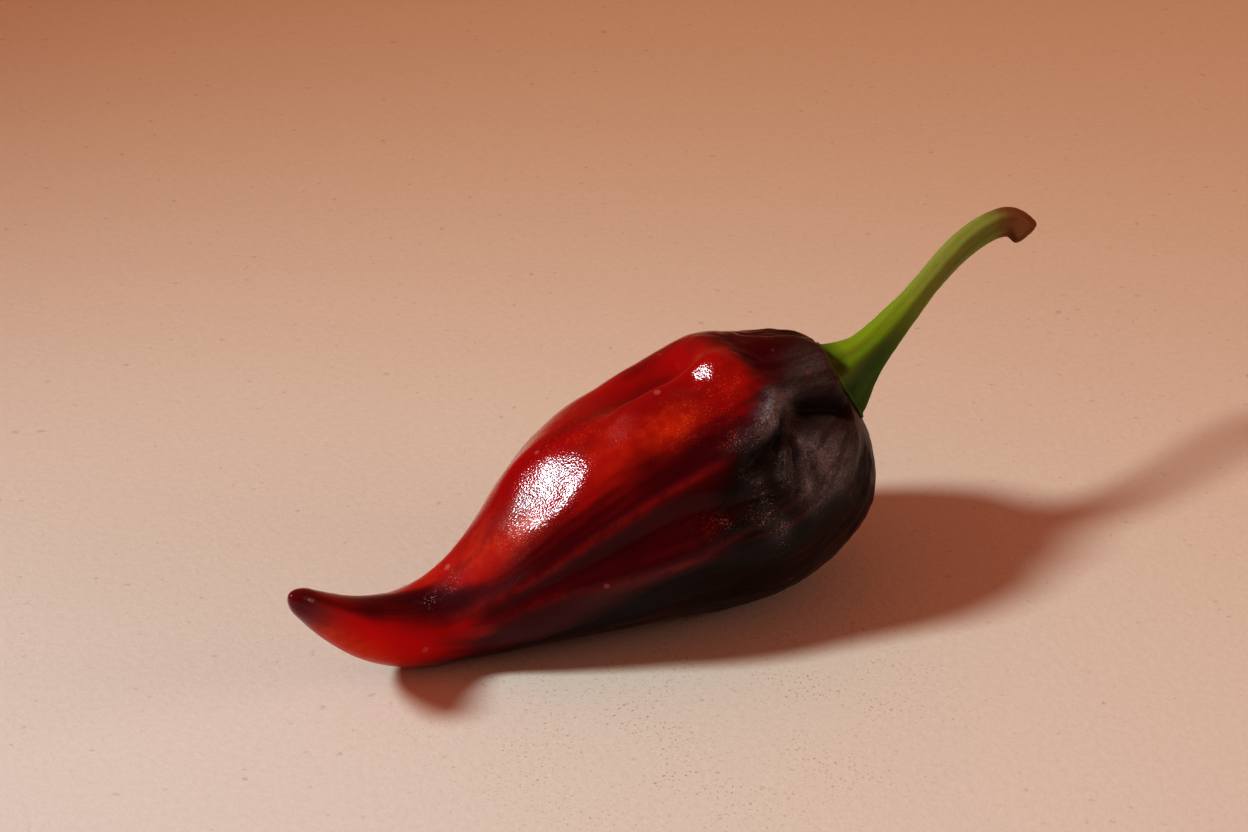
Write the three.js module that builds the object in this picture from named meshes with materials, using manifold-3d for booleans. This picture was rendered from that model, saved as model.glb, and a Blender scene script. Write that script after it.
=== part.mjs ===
// A small plump chili pepper lying on its side: a glossy pod with a hooked tail, and its green
// calyx and stalk. Millimetres, +Z up. +X runs along the pod towards the stalk, and the ground is z = 0.

import * as THREE from 'three';
import Module from 'manifold-3d';

// Driving dimensions of the pod, in millimetres
// The centreline's handles, from the stalk end, over the belly and the waist, to the hooked tip
const POD_LINE = [
  [14.2, 1.4, 16.9],
  [8.8, 2.4, 12.7],
  [2.0, 2.8, 11.0],
  [-4.6, 2.0, 10.3],
  [-11.2, 1.3, 8.5],
  [-17.7, 1.0, 5.6],
  [-24.6, 2.2, 2.6],
  [-31.8, -0.8, 6.1],
  [-38.4, -3.8, 13.2],
];
// Radii at even steps along the centreline, before the ends are rounded off
const POD_RADII = [10.8, 10.4, 11.9, 10.6, 9.4, 6.2, 3.8, 3.0, 2.0, 0.9];
const SHOULDER_LENGTH = 11.3;
const SHOULDER_SQUARENESS = 2.6;
const TIP_LENGTH = 2;
const TIP_SQUARENESS = 2;
// The shoulder leans back under itself, most at this angle round the pod
const LEAN = 0.08;
const LEAN_ANGLE = -70;
const LEAN_LENGTH = 14;

// Driving dimensions of the calyx and stalk, in millimetres
const STALK_LINE = [
  [12.3, 3.0, 15.8],
  [15.85, 2.7, 18.1],
  [19.2, 3.35, 20.1],
  [24.05, 5.8, 22.1],
  [29.15, 8.9, 23.7],
  [34.0, 10.65, 24.55],
  [36.0, 10.35, 24.4],
  [36.8, 9.3, 23.2],
];
// Distance along the stalk and radius there: the calyx flares at the pod, the cut end is a little thicker
const STALK_RADII = [
  [0, 3.4],
  [2.3, 3.45],
  [3.3, 3.05],
  [4.6, 2.4],
  [5.8, 1.95],
  [8, 1.6],
  [11, 1.3],
  [14, 1.12],
  [20, 1.15],
  [25, 1.25],
  [28.5, 1.35],
];
const CALYX_TEETH = 5;
const CALYX_TOOTH_HEIGHT = 0.45;
const CALYX_RIB_HEIGHT = 0.16;
const CALYX_LENGTH = 9;
const CUT_END_ROUNDING = 0.5;
const SEAT_GAP = 0.3;

// Each fold of the skin: its path as [distance over the skin from the stalk end in mm, degrees round
// the pod], its height, its width on the side of rising angle and on the other side, and the share
// of its path over which it eases in. Angle 0 faces the near side and 90 the top.
const FOLDS = [
  // The top is pressed in behind the shoulder, with a lip along the hollow's near edge
  { path: [[18, 90], [23, 92], [31, 93]], height: -1.9, above: 3.2, below: 1.5, ease: 0.35 },
  { path: [[19, 75], [24, 76.5], [27, 78], [29.5, 83]], height: 0.6, above: 0.9, below: 2.4, ease: 0.25 },
  // Three swellings beside it
  { path: [[13, 102], [17, 102]], height: 0.4, above: 3.0, below: 3.0, ease: 0 },
  { path: [[15, 73], [18, 74]], height: 0.8, above: 3.0, below: 3.0, ease: 0 },
  { path: [[24, 60], [27, 60]], height: 0.3, above: 2.2, below: 2.2, ease: 0 },
  // The shoulder swells up round the calyx, most on its far side, and under the near side
  { path: [[5, 85], [4.6, 185]], height: 1.25, above: 3.0, below: 4.0, ease: 0 },
  { path: [[4.5, 48], [4.5, 78]], height: 0.5, above: 2.2, below: 2.2, ease: 0 },
  { path: [[12, -62], [17, -52]], height: 0.5, above: 3.5, below: 4.0, ease: 0 },
  // The near flank: a broad hollow, then two ribs that run into the tail with a valley between
  { path: [[20, 45], [28, 40], [35, 40], [44, 42], [51, 50]],
    height: -0.3, above: 3.0, below: 2.0, ease: 0.25 },
  { path: [[20, 34], [26, 31], [35, 29], [42, 28], [50, 26]],
    height: 0.25, above: 0.9, below: 1.0, ease: 0.25 },
  { path: [[20, 10], [29, 18], [36, 18], [46, 18]], height: -0.5, above: 1.3, below: 1.5, ease: 0.25 },
  { path: [[25, -4], [32, 2], [38, 9], [45, 7], [53, 10]], height: 0.3, above: 0.9, below: 1.0, ease: 0.25 },
  { path: [[19, -34], [31, -20], [42, -14]], height: -0.5, above: 2.0, below: 2.0, ease: 0.25 },
  // The near shoulder: an upright fold that runs down from the brow, and the crease under it
  { path: [[9.8, 59], [12.4, 50.5], [14.4, 44.5], [17.2, 40.5], [20.4, 38], [24, 35]],
    height: 0.9, above: 1.7, below: 1.0, ease: 0.25 },
  { path: [[10.4, 48], [12.2, 42], [14.4, 36], [17.4, 31.5], [20.4, 29.5], [24, 27]],
    height: -0.5, above: 0.9, below: 1.2, ease: 0.25 },
  // A deep pocket below the calyx, under its brow
  { path: [[3.6, 6], [4.4, 22], [6.2, 33], [8.4, 39.5], [12, 48]],
    height: -1.2, above: 1.3, below: 1.5, ease: 0.25 },
  { path: [[3.2, 42], [6.5, 51], [10, 59]], height: 0.3, above: 1.8, below: 1.1, ease: 0.25 },
  // The waist above the tail
  { path: [[41, 74], [43, 85], [45, 100]], height: -0.3, above: 1.0, below: 1.2, ease: 0.2 },
  // The underside: two belly lobes that the pod rests on, with a groove between them
  { path: [[12, -90], [38, -90]], height: -0.6, above: 2.2, below: 2.2, ease: 0.25 },
  { path: [[17, -72], [24, -72]], height: 0.5, above: 3.2, below: 3.2, ease: 0 },
  { path: [[17, -110], [24, -110]], height: 0.15, above: 3.2, below: 3.2, ease: 0 },
  // The far flank: a groove, two ribs and a shallow hollow like those of the near flank
  { path: [[11, 168], [25, 160], [39, 165]], height: -1.0, above: 2.0, below: 2.6, ease: 0.25 },
  { path: [[19, 186], [31, 182], [45, 190]], height: 0.5, above: 1.1, below: 1.1, ease: 0.25 },
  { path: [[20, 203], [31, 198], [43, 204]], height: -0.7, above: 1.5, below: 1.3, ease: 0.25 },
  { path: [[21, 218], [33, 212], [47, 218]], height: 0.45, above: 1.4, below: 1.0, ease: 0.25 },
  { path: [[16, 138], [23, 134], [29, 140]], height: -0.7, above: 2.6, below: 2.6, ease: 0.25 },
];

// Flatter places of the skin, on the belly and behind the shoulder: the distance over the skin and the
// degrees round the pod at the middle, half the length along the pod and round it, how far the middle
// stands over the folded skin, the radius of the slight bulge, and how squarely the place ends
const FACETS = [
  { over: 35.6, degrees: 79, halfAlong: 4.0, halfRound: 3.3, height: -0.28, bulge: 40, squareness: 3 },
  { over: 20.6, degrees: 74, halfAlong: 3.0, halfRound: 1.6, height: -0.12, bulge: 20, squareness: 3 },
];
// They all face up and back towards the near side of the tail
const FACET_FACING = new THREE.Vector3(-0.622, -0.361, 0.695);

// Wrinkles that run out from the calyx over the shoulder, at these angles
const SHOULDER_WRINKLES = [78, 106, 132, 157, 186, 215, 247, 288, 335];
const WRINKLE_DEPTH = -0.45;
const WRINKLE_WIDTH = 1;
const WRINKLE_START = 4.5;
const WRINKLE_END = 12;
const WRINKLE_TWIST = 5;
const WRINKLE_EASE = 0.4;

// The thin tail and the very end of the shoulder take the folds only in part
const FULL_RELIEF_RADIUS = 5;

// How many sides and rings the two solids have
const POD_SIDES = 64;
const POD_RINGS = 90;
const STALK_SIDES = 30;
const STALK_RINGS = 30;
const LINE_SAMPLES = 400;

const POD_COLOUR = 0x8a0c0a;
const STALK_COLOUR = 0x6f7a22;

const radians = THREE.MathUtils.degToRad;
const clamp = THREE.MathUtils.clamp;
const smoothstep = (x) => THREE.MathUtils.smoothstep(x, 0, 1);
const FULL_TURN = 2 * Math.PI;
// The turn from a direction in degrees to an angle, the short way round
const turnFrom = (degrees, angle) =>
  THREE.MathUtils.euclideanModulo(angle - radians(degrees) + Math.PI, FULL_TURN) - Math.PI;

// The uniform cubic B-spline through a list of handles, from its first handle at t = 0 to its last at 1
function bspline(handles, t) {
  const last = handles.length - 1;
  const x = clamp(t, 0, 1) * last;
  const i = Math.min(Math.floor(x), last - 1);
  const f = x - i;
  const at = (k) => {
    if (k < 0) return 2 * handles[0] - handles[1];
    if (k > last) return 2 * handles[last] - handles[last - 1];
    return handles[k];
  };
  const weights = [
    (1 - f) ** 3,
    3 * f ** 3 - 6 * f ** 2 + 4,
    1 + 3 * f + 3 * f ** 2 - 3 * f ** 3,
    f ** 3,
  ];
  return weights.reduce((sum, weight, k) => sum + (weight * at(i - 1 + k)) / 6, 0);
}

// Straight interpolation in a list of [distance, value] pairs, eased to a smooth curve
function valueAt(pairs, distance) {
  const next = pairs.findIndex((pair) => pair[0] > distance);
  if (next === 0) return pairs[0][1];
  if (next < 0) return pairs[pairs.length - 1][1];
  const slope = (a, b) => (pairs[b][1] - pairs[a][1]) / (pairs[b][0] - pairs[a][0]);
  const a = next - 1;
  const b = next;
  const span = pairs[b][0] - pairs[a][0];
  const f = (distance - pairs[a][0]) / span;
  const leave = a > 0 ? slope(a - 1, b) : slope(a, b);
  const arrive = b < pairs.length - 1 ? slope(a, b + 1) : slope(a, b);
  return (
    pairs[a][1] * (1 + 2 * f) * (1 - f) ** 2 +
    leave * span * f * (1 - f) ** 2 +
    pairs[b][1] * f ** 2 * (3 - 2 * f) +
    arrive * span * f ** 2 * (f - 1)
  );
}

// A centreline with its length and, at any distance along it, a frame that doesn't twist:
// along the line, up, and out to the side
function centreline(handles) {
  const axis = (k) => handles.map((handle) => handle[k]);
  const [xs, ys, zs] = [axis(0), axis(1), axis(2)];
  const points = [];
  for (let i = 0; i <= LINE_SAMPLES; i += 1) {
    const t = i / LINE_SAMPLES;
    points.push(new THREE.Vector3(bspline(xs, t), bspline(ys, t), bspline(zs, t)));
  }
  const distances = [0];
  for (let i = 1; i < points.length; i += 1) {
    distances.push(distances[i - 1] + points[i].distanceTo(points[i - 1]));
  }
  const frames = [];
  const up = new THREE.Vector3(0, 0, 1);
  points.forEach((point, i) => {
    const before = points[Math.max(i - 1, 0)];
    const after = points[Math.min(i + 1, points.length - 1)];
    const along = after.clone().sub(before).normalize();
    up.addScaledVector(along, -up.dot(along)).normalize();
    frames.push({ point, along, up: up.clone(), side: up.clone().cross(along) });
  });
  const length = distances[distances.length - 1];
  const frameAt = (distance) => {
    const found = distances.findIndex((value) => value >= distance);
    const i = clamp(found < 0 ? LINE_SAMPLES : found, 1, LINE_SAMPLES);
    const f = clamp((distance - distances[i - 1]) / (distances[i] - distances[i - 1]), 0, 1);
    const mix = (name) => frames[i - 1][name].clone().lerp(frames[i][name], f);
    return { point: mix('point'), along: mix('along'), up: mix('up'), side: mix('side') };
  };
  return { length, frameAt };
}

// From 0 at an end to 1 where its rounding stops
function endRounding(share, squareness) {
  return (1 - (1 - clamp(share, 0, 1)) ** squareness) ** (1 / squareness);
}

function podRadius(distance, length) {
  const rounding =
    endRounding(distance / SHOULDER_LENGTH, SHOULDER_SQUARENESS) *
    endRounding((length - distance) / TIP_LENGTH, TIP_SQUARENESS);
  return bspline(POD_RADII, distance / length) * rounding;
}

// The pod's outline: at any distance over the skin, the distance along the centreline, the radius,
// and how fast both change there. Its samples lie closest at both ends, where it turns most.
function podOutline(length) {
  const samples = [{ over: 0, along: 0, radius: 0 }];
  for (let i = 1; i <= LINE_SAMPLES; i += 1) {
    const before = samples[i - 1];
    const along = (length * (1 - Math.cos((Math.PI * i) / LINE_SAMPLES))) / 2;
    const radius = podRadius(along, length);
    const over = before.over + Math.hypot(along - before.along, radius - before.radius);
    samples.push({ over, along, radius });
  }
  const at = (over) => {
    const found = samples.findIndex((sample) => sample.over >= over);
    const i = clamp(found < 0 ? LINE_SAMPLES : found, 1, LINE_SAMPLES);
    const [a, b] = [samples[i - 1], samples[i]];
    const step = b.over - a.over;
    const f = clamp((over - a.over) / step, 0, 1);
    return {
      along: THREE.MathUtils.lerp(a.along, b.along, f),
      radius: THREE.MathUtils.lerp(a.radius, b.radius, f),
      alongRate: (b.along - a.along) / step,
      radiusRate: (b.radius - a.radius) / step,
    };
  };
  return { skinLength: samples[LINE_SAMPLES].over, at };
}

// How far one fold raises the skin at a place: a Gaussian across the fold's path
function foldHeight(fold, distance, angle, radius) {
  const steps = fold.path.length - 1;
  let nearest = Infinity;
  let side = 1;
  let share = 0;
  for (let k = 0; k < steps; k += 1) {
    const [fromDistance, fromAngle] = fold.path[k];
    const [toDistance, toAngle] = fold.path[k + 1];
    const step = new THREE.Vector2(toDistance - fromDistance, radius * radians(toAngle - fromAngle));
    const place = new THREE.Vector2(distance - fromDistance, radius * turnFrom(fromAngle, angle));
    const u = clamp(place.dot(step) / step.lengthSq(), 0, 1);
    const away = place.clone().addScaledVector(step, -u).length();
    if (away < nearest) {
      nearest = away;
      side = step.cross(place);
      share = (k + u) / steps;
    }
  }
  const width = side > 0 ? fold.above : fold.below;
  const eased = fold.ease > 0 ? smoothstep(Math.min(share, 1 - share) / fold.ease) : 1;
  return fold.height * eased * Math.exp(-((nearest / width) ** 2));
}

const WRINKLES = SHOULDER_WRINKLES.map((angle) => ({
  path: [[WRINKLE_START, angle], [WRINKLE_END, angle + WRINKLE_TWIST]],
  height: WRINKLE_DEPTH,
  above: WRINKLE_WIDTH,
  below: WRINKLE_WIDTH,
  ease: WRINKLE_EASE,
}));

function podRelief(distance, angle, radius) {
  const total = [...FOLDS, ...WRINKLES].reduce(
    (sum, fold) => sum + foldHeight(fold, distance, angle, radius),
    0,
  );
  return total * Math.min(1, radius / FULL_RELIEF_RADIUS);
}

// A closed skin over rings of points, with a single point at each end
function skin(firstPoint, rings, lastPoint) {
  const sides = rings[0].length;
  const points = [firstPoint, ...rings.flat(), lastPoint];
  const last = points.length - 1;
  const triangles = [];
  for (let j = 0; j < sides; j += 1) {
    const next = (j + 1) % sides;
    triangles.push(0, 1 + next, 1 + j);
    const lastRing = 1 + (rings.length - 1) * sides;
    triangles.push(last, lastRing + j, lastRing + next);
    for (let i = 0; i < rings.length - 1; i += 1) {
      const a = 1 + i * sides + j;
      const b = 1 + i * sides + next;
      triangles.push(a, b, a + sides);
      triangles.push(b, b + sides, a + sides);
    }
  }
  const geometry = new THREE.BufferGeometry();
  geometry.setAttribute('position', new THREE.Float32BufferAttribute(points.flatMap((p) => p.toArray()), 3));
  geometry.setIndex(triangles);
  return geometry;
}

// The pod's skin, grown outwards by a clearance; the soft skin is pressed flat where it meets the ground
function podGeometry(clearance) {
  const line = centreline(POD_LINE);
  const outline = podOutline(line.length);
  // A point of the folded skin, the direction out of it, and the radius there
  const folded = (over, angle) => {
    const { along, radius, alongRate, radiusRate } = outline.at(over);
    const frame = line.frameAt(along);
    const radial = frame.side.multiplyScalar(Math.cos(angle)).addScaledVector(frame.up, Math.sin(angle));
    const outward = radial.clone().multiplyScalar(alongRate).addScaledVector(frame.along, -radiusRate);
    const fade = clamp(1 - along / LEAN_LENGTH, 0, 1) ** 2;
    const lean = LEAN * fade * radius * (0.5 + 0.5 * Math.cos(angle - radians(LEAN_ANGLE))) ** 2;
    const point = frame.point
      .addScaledVector(radial, radius)
      .addScaledVector(frame.along, lean)
      .addScaledVector(outward, podRelief(over, angle, radius));
    return { point, outward, radius };
  };
  const facets = FACETS.map((facet) => {
    const { point, outward } = folded(facet.over, radians(facet.degrees));
    return { ...facet, middle: point.addScaledVector(outward, facet.height) };
  });
  // How far a facet moves a point of the skin, along the direction out of it
  const facetLift = (facet, over, angle, { point, outward, radius }) => {
    const round = (radius * turnFrom(facet.degrees, angle)) / facet.halfRound;
    const away = Math.hypot((over - facet.over) / facet.halfAlong, round);
    const far = point.clone().sub(facet.middle);
    const above = far.dot(FACET_FACING);
    const sideways = far.lengthSq() - above ** 2;
    const facing = Math.max(outward.dot(FACET_FACING), 0.5);
    return (-Math.exp(-(away ** facet.squareness)) * (above + sideways / (2 * facet.bulge))) / facing;
  };
  const surface = (over, angle) => {
    const place = folded(over, angle);
    const { point, outward } = place;
    facets.forEach((facet) => {
      point.addScaledVector(outward, facetLift(facet, over, angle, place));
    });
    point.addScaledVector(outward, clearance);
    point.z = Math.max(point.z, 0);
    return point;
  };
  const rings = Array.from({ length: POD_RINGS }, (_, i) => {
    const over = (outline.skinLength * (i + 1)) / (POD_RINGS + 1);
    return Array.from({ length: POD_SIDES }, (__, j) => surface(over, (FULL_TURN * j) / POD_SIDES));
  });
  const start = line.frameAt(0);
  const end = line.frameAt(line.length);
  return skin(
    start.point.addScaledVector(start.along, -clearance),
    rings,
    end.point.addScaledVector(end.along, clearance),
  );
}

// The calyx and stalk as one tube that starts inside the pod
function stalkGeometry() {
  const line = centreline(STALK_LINE);
  const surface = (distance, angle) => {
    const frame = line.frameAt(distance);
    const left = line.length - distance;
    const calyx = 1 - smoothstep(distance / CALYX_LENGTH);
    const tooth = CALYX_TOOTH_HEIGHT * calyx ** 4 * Math.cos(CALYX_TEETH * angle);
    const rib = CALYX_RIB_HEIGHT * calyx * Math.cos(2 * CALYX_TEETH * angle);
    const rounding = endRounding(left / CUT_END_ROUNDING, 2);
    const radius = (valueAt(STALK_RADII, distance) + tooth + rib) * (0.6 + 0.4 * rounding);
    return frame.point
      .addScaledVector(frame.side, radius * Math.cos(angle))
      .addScaledVector(frame.up, radius * Math.sin(angle));
  };
  const rings = Array.from({ length: STALK_RINGS }, (_, i) => {
    const distance = line.length * (i / (STALK_RINGS - 1)) ** 1.4;
    return Array.from({ length: STALK_SIDES }, (__, j) => surface(distance, (FULL_TURN * j) / STALK_SIDES));
  });
  return skin(line.frameAt(0).point, rings, line.frameAt(line.length).point);
}

const wasm = await Module();
wasm.setup();

function toSolid(geometry) {
  return new wasm.Manifold(
    new wasm.Mesh({
      numProp: 3,
      vertProperties: new Float32Array(geometry.getAttribute('position').array),
      triVerts: new Uint32Array(geometry.getIndex().array),
    }),
  );
}

function toGeometry(solid) {
  const mesh = solid.getMesh();
  const geometry = new THREE.BufferGeometry();
  geometry.setAttribute('position', new THREE.BufferAttribute(mesh.vertProperties, 3));
  geometry.setIndex(new THREE.BufferAttribute(mesh.triVerts, 1));
  return geometry;
}

function makePod() {
  const material = new THREE.MeshStandardMaterial({ color: POD_COLOUR, roughness: 0.22, metalness: 0 });
  const pod = new THREE.Mesh(podGeometry(0), material);
  pod.name = 'pod';
  return pod;
}

// The calyx sits on the shoulder: the tube is cut off where the pod, grown by the gap, begins
function makeStem() {
  const seated = toSolid(stalkGeometry()).subtract(toSolid(podGeometry(SEAT_GAP)));
  const material = new THREE.MeshStandardMaterial({ color: STALK_COLOUR, roughness: 0.6, metalness: 0 });
  const stem = new THREE.Mesh(toGeometry(seated), material);
  stem.name = 'stem';
  return stem;
}

// The origin is at the middle of the chili's footprint box, on the ground
const chili = new THREE.Group();
chili.add(makePod(), makeStem());
const box = new THREE.Box3().setFromObject(chili);
const middle = box.getCenter(new THREE.Vector3());
chili.position.set(-middle.x, -middle.y, 0);

export default chili;
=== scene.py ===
import math

import bpy
import numpy as np
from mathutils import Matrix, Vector, noise
from mathutils.bvhtree import BVHTree


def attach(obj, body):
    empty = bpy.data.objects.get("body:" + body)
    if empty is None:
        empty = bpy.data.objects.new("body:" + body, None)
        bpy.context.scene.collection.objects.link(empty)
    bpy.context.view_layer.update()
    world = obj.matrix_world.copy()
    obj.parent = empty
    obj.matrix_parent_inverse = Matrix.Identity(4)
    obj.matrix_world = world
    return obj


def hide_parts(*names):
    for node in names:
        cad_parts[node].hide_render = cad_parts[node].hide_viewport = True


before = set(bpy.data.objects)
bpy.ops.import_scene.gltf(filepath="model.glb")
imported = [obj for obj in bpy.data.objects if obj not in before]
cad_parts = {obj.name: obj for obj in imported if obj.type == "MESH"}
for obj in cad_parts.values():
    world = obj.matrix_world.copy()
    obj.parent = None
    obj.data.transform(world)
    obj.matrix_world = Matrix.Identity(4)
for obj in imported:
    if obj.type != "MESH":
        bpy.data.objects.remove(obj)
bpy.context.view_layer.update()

# A small plump chili pepper on its side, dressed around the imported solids. Lengths in this script
# are millimetres until a mesh is made, in the axes that the solids were drawn in; OFFSET takes
# them to the part's own origin.
MM = 0.001
OFFSET = np.array([0.527, -2.579, 0.0])

# The camera, from its angles round the object, and the point of the floor that it looks at
AZIMUTH = -25
ELEVATION = 30
LENS = 100
SENSOR = 36
DISTANCE = 328
TARGET = (8.034, 29.104, 0.0)

# The pod's form

# Handles of the centreline from the stalk end to the tip, and of the radius along it
POD_LINE = [
    (14.2, 1.4, 16.9),
    (8.8, 2.4, 12.7),
    (2.0, 2.8, 11.0),
    (-4.6, 2.0, 10.3),
    (-11.2, 1.3, 8.5),
    (-17.7, 1.0, 5.6),
    (-24.6, 2.2, 2.6),
    (-31.8, -0.8, 6.1),
    (-38.4, -3.8, 13.2),
]
POD_RADII = [10.8, 10.4, 11.9, 10.6, 9.4, 6.2, 3.8, 3.0, 2.0, 0.9]
# The pod closes over these lengths, with a round end at 2 and a squarer one above it
SHOULDER_LENGTH = 11.3
SHOULDER_SQUARENESS = 2.6
TIP_LENGTH = 2
TIP_SQUARENESS = 2
# The shoulder leans towards the tail by this share of its radius, most at this angle, and less and
# less over this length
LEAN = 0.08
LEAN_ANGLE = -70
LEAN_LENGTH = 14
# Folds have their full height where the pod is at least this thick
FULL_RELIEF_RADIUS = 5
LINE_SAMPLES = 401
POD_SIDES = 320
POD_RINGS = 300

# Folds: path as (distance over the skin from the stalk end, degrees round the pod), height, width
# towards rising angle, width on the other side, and the share of the path at each end over which
# the fold fades. Angle 0 faces the near side and 90 the top.
FOLDS = [
    # The top is pressed in behind the shoulder, with a lip along the hollow's near edge
    ([(18, 90), (23, 92), (31, 93)], -1.9, 3.2, 1.5, 0.35),
    ([(19, 75), (24, 76.5), (27, 78), (29.5, 83)], 0.6, 0.7, 2.4, 0.25),
    # Three swellings beside it
    ([(13, 102), (17, 102)], 0.4, 3.0, 3.0, 0),
    ([(15, 73), (18, 74)], 0.8, 3.0, 3.0, 0),
    ([(24, 60), (27, 60)], 0.3, 2.2, 2.2, 0),
    # The shoulder swells up round the calyx, most on its far side, and under the near side
    ([(5, 85), (4.6, 185)], 1.25, 3.0, 4.0, 0),
    ([(4.5, 48), (4.5, 78)], 0.5, 2.2, 2.2, 0),
    ([(12, -62), (17, -52)], 0.5, 3.5, 4.0, 0),
    # The near flank: a broad hollow, then two ribs that run into the tail with a valley between
    ([(20, 45), (28, 40), (35, 40), (44, 42), (51, 50)], -0.3, 3.0, 2.0, 0.25),
    ([(20, 34), (26, 31), (35, 29), (42, 28), (50, 26)], 0.25, 0.8, 1.0, 0.25),
    ([(20, 10), (29, 18), (36, 18), (46, 18)], -0.5, 1.3, 1.5, 0.25),
    ([(25, -4), (32, 2), (38, 9), (45, 7), (53, 10)], 0.3, 0.8, 1.0, 0.25),
    ([(19, -34), (31, -20), (42, -14)], -0.5, 2.0, 2.0, 0.25),
    # The near shoulder: an upright fold, the crease behind it, and a deep pocket under a brow
    ([(9.8, 59), (12.4, 50.5), (14.4, 44.5), (17.2, 40.5), (20.4, 38), (24, 35)],
     0.9, 1.7, 0.9, 0.25),
    ([(10.4, 48), (12.2, 42), (14.4, 36), (17.4, 31.5), (20.4, 29.5), (24, 27)],
     -0.5, 0.6, 1.1, 0.25),
    ([(3.6, 6), (4.4, 22), (6.2, 33), (8.4, 39.5), (12, 48)], -1.5, 0.65, 1.1, 0.22),
    ([(3.2, 42), (6.5, 51), (10, 59)], 0.3, 1.8, 1.1, 0.25),
    # The waist above the tail
    ([(41, 74), (43, 85), (45, 100)], -0.3, 1.0, 1.2, 0.2),
    # The underside: two belly lobes that the pod rests on, with a groove between them
    ([(12, -90), (38, -90)], -0.6, 2.2, 2.2, 0.25),
    ([(17, -72), (24, -72)], 0.5, 3.2, 3.2, 0),
    ([(17, -110), (24, -110)], 0.15, 3.2, 3.2, 0),
    # The far flank
    ([(11, 168), (25, 160), (39, 165)], -1.0, 2.0, 2.6, 0.25),
    ([(19, 186), (31, 182), (45, 190)], 0.5, 1.1, 1.1, 0.25),
    ([(20, 203), (31, 198), (43, 204)], -0.7, 1.5, 1.3, 0.25),
    ([(21, 218), (33, 212), (47, 218)], 0.45, 1.4, 1.0, 0.25),
    ([(16, 138), (23, 134), (29, 140)], -0.7, 2.6, 2.6, 0.25),
]
# Wrinkles that run out from the calyx over the shoulder
FOLDS += [([(4.5, angle), (12, angle + 5)], -0.45, 1.0, 1.0, 0.4)
          for angle in (78, 106, 132, 157, 186, 215, 247, 288, 335)]
# Finer folds of the near side, left out of the solids
FINE_FOLDS = [
    ([(19, 37), (26, 32), (34, 29), (40, 28)], 0.17, 0.4, 0.45, 0.35),
    # A fan of soft ridges and valleys that runs down the shoulder from the pocket
    ([(13.2, 38), (15.8, 28), (17.5, 19), (19.5, 8)], 0.3, 0.5, 0.55, 0.35),
    ([(12.9, 34), (14.6, 24), (16.2, 12), (17.5, 0)], -0.16, 0.5, 0.5, 0.35),
    ([(12.3, 31), (14, 20), (15, 8), (16, -3)], 0.2, 0.5, 0.6, 0.35),
    ([(11.6, 29), (12.9, 18), (13.5, 6), (14, -6)], -0.13, 0.55, 0.55, 0.35),
    ([(10.8, 28), (11.8, 17), (12, 5), (12.2, -8)], 0.15, 0.6, 0.6, 0.35),
    ([(9.2, 26), (9.6, 15), (9.4, 4), (9.6, -10)], 0.12, 0.7, 0.7, 0.35),
    ([(18, 12), (21.5, 13), (25, 16)], -0.25, 0.4, 0.5, 0.4),
    ([(18.5, -2), (22, -1), (26, 3)], -0.2, 0.4, 0.5, 0.4),
    ([(4, 62), (8, 66), (11, 66)], -0.3, 0.6, 0.8, 0.4),
]

# Fine folds drawn at random and spread evenly round the pod, left out of the solids: their number,
# the angles that stay free of them, the share of their bend that is left at their end, their fade,
# and the ranges of their stray from the even spacing (degrees), start and length (mm over the
# skin), bend (degrees), height and width
RANDOM_FOLDS = [
    # Wrinkles of the shoulder
    (44, (-10, 65), 0.6, 0.3,
     ((-4, 4), (4.5, 9), (4, 9), (-10, 10), (-0.06, -0.2), (0.3, 0.55))),
    # Lines of the flanks
    (30, (55, 100), 2, 0.4,
     ((-5, 5), (16, 30), (12, 26), (-6, 6), (-0.12, 0.09), (0.35, 0.7))),
]
RANDOM_FOLDS_SEED = 7
RANDOM_FOLDS_END = 60

# The skin's unevenness: size of its features, height, height added on the shoulder, and seed
UNEVENNESS = [(5.0, 0.10, 0, 3.0), (1.8, 0.035, 0.05, 9.0), (0.9, 0, 0.06, 15.0)]
# The shoulder's roughness fades between these distances over the skin
SHOULDER_END = (14, 24)

# Flatter places of the skin, with their middle (over, angle), half lengths along the pod and round
# it, height over the skin there, the radius of their own slight bulge, and squareness.
# They all face the same way.
FACETS = [
    (35.6, 79, 3.8, 3.7, -0.28, 40, 3),
    (20.6, 74, 3.0, 1.6, -0.12, 20, 3),
]
FACET_FACING = np.array([-0.622, -0.361, 0.695])
# Skin that faces another way than the facet counts as facing it by at least this cosine
LEAST_FACING = 0.5


def bspline(handles, t):
    """The uniform cubic B-spline from the first handle, at t = 0, to the last, at t = 1."""
    p = np.asarray(handles, float)
    p = np.concatenate([[2 * p[0] - p[1]], p, [2 * p[-1] - p[-2]]])
    last = len(p) - 3
    x = np.clip(np.asarray(t, float), 0, 1) * last
    i = np.minimum(x.astype(int), last - 1)
    f = x - i
    if p.ndim > 1:
        f = f[..., None]
    return ((1 - f) ** 3 * p[i] + (3 * f**3 - 6 * f**2 + 4) * p[i + 1]
            + (1 + 3 * f + 3 * f**2 - 3 * f**3) * p[i + 2] + f**3 * p[i + 3]) / 6


def smoothstep(x, low=0.0, high=1.0):
    """Eases from 0 at low to 1 at high."""
    x = np.clip((x - low) / (high - low), 0, 1)
    return x * x * (3 - 2 * x)


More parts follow.
